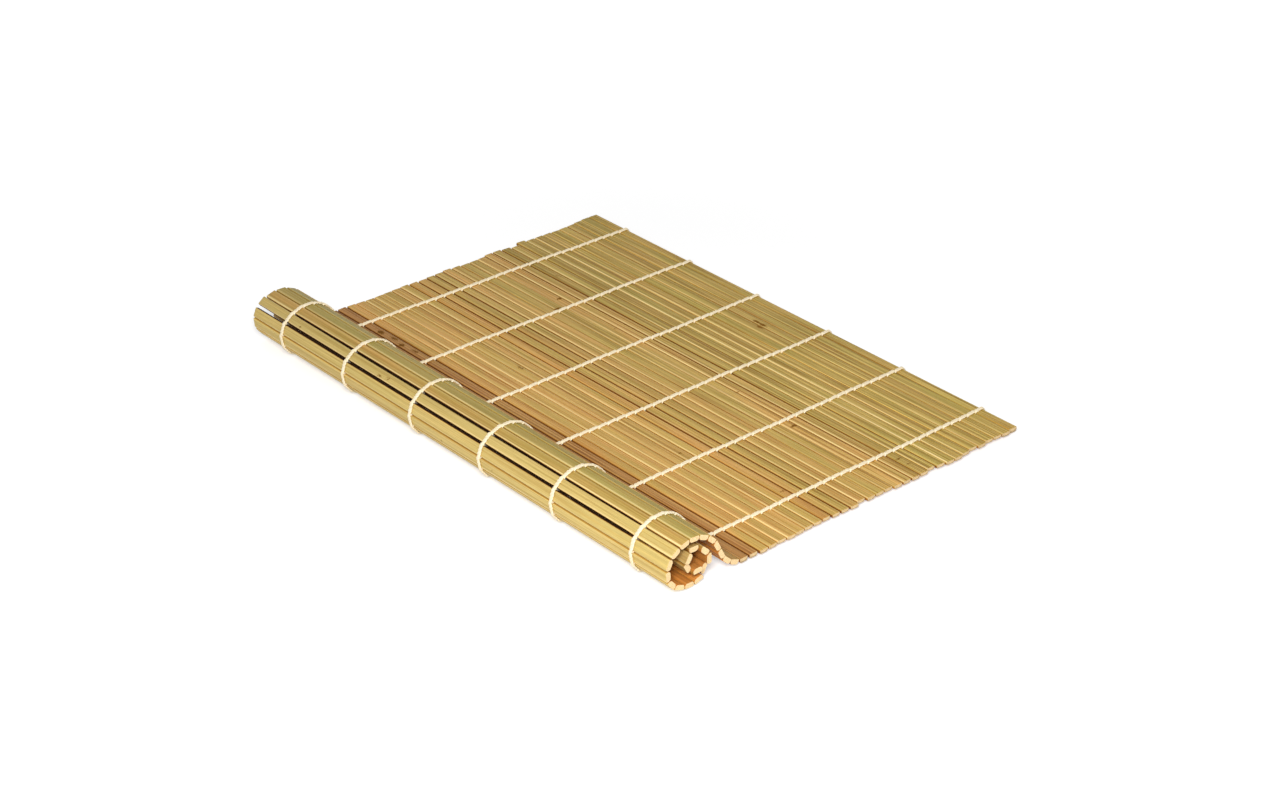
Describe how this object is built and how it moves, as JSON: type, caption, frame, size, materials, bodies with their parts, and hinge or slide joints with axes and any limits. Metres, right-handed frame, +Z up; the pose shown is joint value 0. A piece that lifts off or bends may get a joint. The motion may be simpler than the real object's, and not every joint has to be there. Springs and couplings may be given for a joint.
{
  "type": "sushi rolling mat",
  "caption": "Flexible mat of thin bamboo slats woven side by side with cotton strings, lying with one end rolled under.",
  "frame": {"origin": "on the table, in the middle of the mat's box as it lies", "axes": "+X along the slats, +Y from the roll towards the back edge, +Z up from the table"},
  "size_m": [0.2396, 0.1778, 0.0212],
  "materials": {
    "slats": "smooth bamboo, satin on the flat skin side, paler at the cut ends",
    "strings": "twisted undyed cotton string, matt"
  },
  "bodies": {
    "field_8": {"field_slats_8": "slats", "field_strings_8": "strings"},
    "field_7": {"field_slats_7": "slats", "field_strings_7": "strings"},
    "field_6": {"field_slats_6": "slats", "field_strings_6": "strings"},
    "field_5": {"field_slats_5": "slats", "field_strings_5": "strings"},
    "field_4": {"field_slats_4": "slats", "field_strings_4": "strings"},
    "field_3": {"field_slats_3": "slats", "field_strings_3": "strings"},
    "field_2": {"field_slats_2": "slats", "field_strings_2": "strings"},
    "field_1": {"field_slats_1": "slats", "field_strings_1": "strings"},
    "roll_01": {"roll_slat_01": "slats", "roll_stitches_01": "strings"},
    "roll_02": {"roll_slat_02": "slats", "roll_stitches_02": "strings"},
    "roll_03": {"roll_slat_03": "slats", "roll_stitches_03": "strings", "roll_slat_04": "slats", "roll_stitches_04": "strings"},
    "roll_05": {"roll_slat_05": "slats", "roll_stitches_05": "strings"},
    "roll_06": {"roll_slat_06": "slats", "roll_stitches_06": "strings"},
    "roll_07": {"roll_slat_07": "slats", "roll_stitches_07": "strings"},
    "roll_08": {"roll_slat_08": "slats", "roll_stitches_08": "strings"},
    "roll_09": {"roll_slat_09": "slats", "roll_stitches_09": "strings"},
    "roll_10": {"roll_slat_10": "slats", "roll_stitches_10": "strings"},
    "roll_11": {"roll_slat_11": "slats", "roll_stitches_11": "strings"},
    "roll_12": {"roll_slat_12": "slats", "roll_stitches_12": "strings"},
    "roll_13": {"roll_slat_13": "slats", "roll_stitches_13": "strings"},
    "roll_14": {"roll_slat_14": "slats", "roll_stitches_14": "strings"},
    "roll_15": {"roll_slat_15": "slats", "roll_stitches_15": "strings"},
    "roll_16": {"roll_slat_16": "slats", "roll_stitches_16": "strings"},
    "roll_17": {"roll_slat_17": "slats", "roll_stitches_17": "strings"},
    "roll_18": {"roll_slat_18": "slats", "roll_stitches_18": "strings"},
    "roll_19": {"roll_slat_19": "slats", "roll_stitches_19": "strings"},
    "roll_20": {"roll_slat_20": "slats", "roll_stitches_20": "strings"},
    "roll_21": {"roll_slat_21": "slats", "roll_stitches_21": "strings"},
    "roll_22": {"roll_slat_22": "slats", "roll_stitches_22": "strings"}
  },
  "joints": [
    {"name": "field_hinge_7", "type": "hinge", "parent": "field_8", "child": "field_7", "pos_m": [0, -0.03674, 0.0019], "axis": [1, 0, 0], "range_deg": [-30, 20]},
    {"name": "field_hinge_6", "type": "hinge", "parent": "field_7", "child": "field_6", "pos_m": [0, -0.01898, 0.0019], "axis": [1, 0, 0], "range_deg": [-30, 20]},
    {"name": "field_hinge_5", "type": "hinge", "parent": "field_6", "child": "field_5", "pos_m": [0, -0.00122, 0.0019], "axis": [1, 0, 0], "range_deg": [-30, 20]},
    {"name": "field_hinge_4", "type": "hinge", "parent": "field_5", "child": "field_4", "pos_m": [0, 0.01654, 0.0019], "axis": [1, 0, 0], "range_deg": [-30, 20]},
    {"name": "field_hinge_3", "type": "hinge", "parent": "field_4", "child": "field_3", "pos_m": [0, 0.0343, 0.0019], "axis": [1, 0, 0], "range_deg": [-30, 20]},
    {"name": "field_hinge_2", "type": "hinge", "parent": "field_3", "child": "field_2", "pos_m": [0, 0.05206, 0.0019], "axis": [1, 0, 0], "range_deg": [-30, 20]},
    {"name": "field_hinge_1", "type": "hinge", "parent": "field_2", "child": "field_1", "pos_m": [0, 0.06982, 0.0019], "axis": [1, 0, 0], "range_deg": [-30, 20]},
    {"name": "roll_hinge_01", "type": "hinge", "parent": "field_8", "child": "roll_01", "pos_m": [0, -0.0545, 0.0019], "axis": [1, 0, 0], "range_deg": [0, 21]},
    {"name": "roll_hinge_02", "type": "hinge", "parent": "roll_01", "child": "roll_02", "pos_m": [0, -0.05864, 0.00349], "axis": [1, 0, 0], "range_deg": [0, 21]},
    {"name": "roll_hinge_03", "type": "hinge", "parent": "roll_02", "child": "roll_03", "pos_m": [0, -0.06194, 0.00646], "axis": [1, 0, 0], "range_deg": [0, 21]},
    {"name": "roll_hinge_05", "type": "hinge", "parent": "roll_03", "child": "roll_05", "pos_m": [0, -0.06597, 0.01437], "axis": [-1, 0, 0], "range_deg": [0, 20]},
    {"name": "roll_hinge_06", "type": "hinge", "parent": "roll_05", "child": "roll_06", "pos_m": [0, -0.06922, 0.0174], "axis": [-1, 0, 0], "range_deg": [0, 20]},
    {"name": "roll_hinge_07", "type": "hinge", "parent": "roll_06", "child": "roll_07", "pos_m": [0, -0.07331, 0.01914], "axis": [-1, 0, 0], "range_deg": [0, 20]},
    {"name": "unroll", "type": "hinge", "parent": "roll_07", "child": "roll_08", "pos_m": [0, -0.07774, 0.01937], "axis": [-1, 0, 0], "range_deg": [0, 20]},
    {"name": "roll_hinge_09", "type": "hinge", "parent": "roll_08", "child": "roll_09", "pos_m": [0, -0.08199, 0.01807], "axis": [-1, 0, 0], "range_deg": [0, 20]},
    {"name": "roll_hinge_10", "type": "hinge", "parent": "roll_09", "child": "roll_10", "pos_m": [0, -0.08553, 0.0154], "axis": [-1, 0, 0], "range_deg": [0, 31]},
    {"name": "roll_hinge_11", "type": "hinge", "parent": "roll_10", "child": "roll_11", "pos_m": [0, -0.0872, 0.01128], "axis": [-1, 0, 0], "range_deg": [0, 31]},
    {"name": "roll_hinge_12", "type": "hinge", "parent": "roll_11", "child": "roll_12", "pos_m": [0, -0.0865, 0.0069], "axis": [-1, 0, 0], "range_deg": [0, 31]},
    {"name": "roll_hinge_13", "type": "hinge", "parent": "roll_12", "child": "roll_13", "pos_m": [0, -0.08365, 0.0035], "axis": [-1, 0, 0], "range_deg": [0, 31]},
    {"name": "roll_hinge_14", "type": "hinge", "parent": "roll_13", "child": "roll_14", "pos_m": [0, -0.07945, 0.00205], "axis": [-1, 0, 0], "range_deg": [0, 17]},
    {"name": "roll_hinge_15", "type": "hinge", "parent": "roll_14", "child": "roll_15", "pos_m": [0, -0.07501, 0.0019], "axis": [-1, 0, 0], "range_deg": [0, 17]},
    {"name": "roll_hinge_16", "type": "hinge", "parent": "roll_15", "child": "roll_16", "pos_m": [0, -0.07072, 0.00304], "axis": [-1, 0, 0], "range_deg": [0, 41]},
    {"name": "roll_hinge_17", "type": "hinge", "parent": "roll_16", "child": "roll_17", "pos_m": [0, -0.06824, 0.00673], "axis": [-1, 0, 0], "range_deg": [0, 41]},
    {"name": "roll_hinge_18", "type": "hinge", "parent": "roll_17", "child": "roll_18", "pos_m": [0, -0.06878, 0.01113], "axis": [-1, 0, 0], "range_deg": [0, 41]},
    {"name": "roll_hinge_19", "type": "hinge", "parent": "roll_18", "child": "roll_19", "pos_m": [0, -0.07208, 0.0141], "axis": [-1, 0, 0], "range_deg": [0, 41]},
    {"name": "roll_hinge_20", "type": "hinge", "parent": "roll_19", "child": "roll_20", "pos_m": [0, -0.07652, 0.01418], "axis": [-1, 0, 0], "range_deg": [0, 62]},
    {"name": "roll_hinge_21", "type": "hinge", "parent": "roll_20", "child": "roll_21", "pos_m": [0, -0.07867, 0.0103], "axis": [-1, 0, 0], "range_deg": [0, 62]},
    {"name": "roll_hinge_22", "type": "hinge", "parent": "roll_21", "child": "roll_22", "pos_m": [0, -0.07626, 0.00657], "axis": [-1, 0, 0], "range_deg": [0, 62]}
  ],
  "couplings": [
    {"joint": "roll_hinge_01", "follows": "unroll", "ratio": 1.05},
    {"joint": "roll_hinge_02", "follows": "unroll", "ratio": 1.05},
    {"joint": "roll_hinge_03", "follows": "unroll", "ratio": 1.05},
    {"joint": "roll_hinge_05", "follows": "unroll", "ratio": 1},
    {"joint": "roll_hinge_06", "follows": "unroll", "ratio": 1},
    {"joint": "roll_hinge_07", "follows": "unroll", "ratio": 1},
    {"joint": "roll_hinge_09", "follows": "unroll", "ratio": 1},
    {"joint": "roll_hinge_10", "follows": "unroll", "ratio": 1.55},
    {"joint": "roll_hinge_11", "follows": "unroll", "ratio": 1.55},
    {"joint": "roll_hinge_12", "follows": "unroll", "ratio": 1.55},
    {"joint": "roll_hinge_13", "follows": "unroll", "ratio": 1.55},
    {"joint": "roll_hinge_14", "follows": "unroll", "ratio": 0.85},
    {"joint": "roll_hinge_15", "follows": "unroll", "ratio": 0.85},
    {"joint": "roll_hinge_16", "follows": "unroll", "ratio": 2.05},
    {"joint": "roll_hinge_17", "follows": "unroll", "ratio": 2.05},
    {"joint": "roll_hinge_18", "follows": "unroll", "ratio": 2.05},
    {"joint": "roll_hinge_19", "follows": "unroll", "ratio": 2.05},
    {"joint": "roll_hinge_20", "follows": "unroll", "ratio": 3.1},
    {"joint": "roll_hinge_21", "follows": "unroll", "ratio": 3.1},
    {"joint": "roll_hinge_22", "follows": "unroll", "ratio": 3.1}
  ]
}
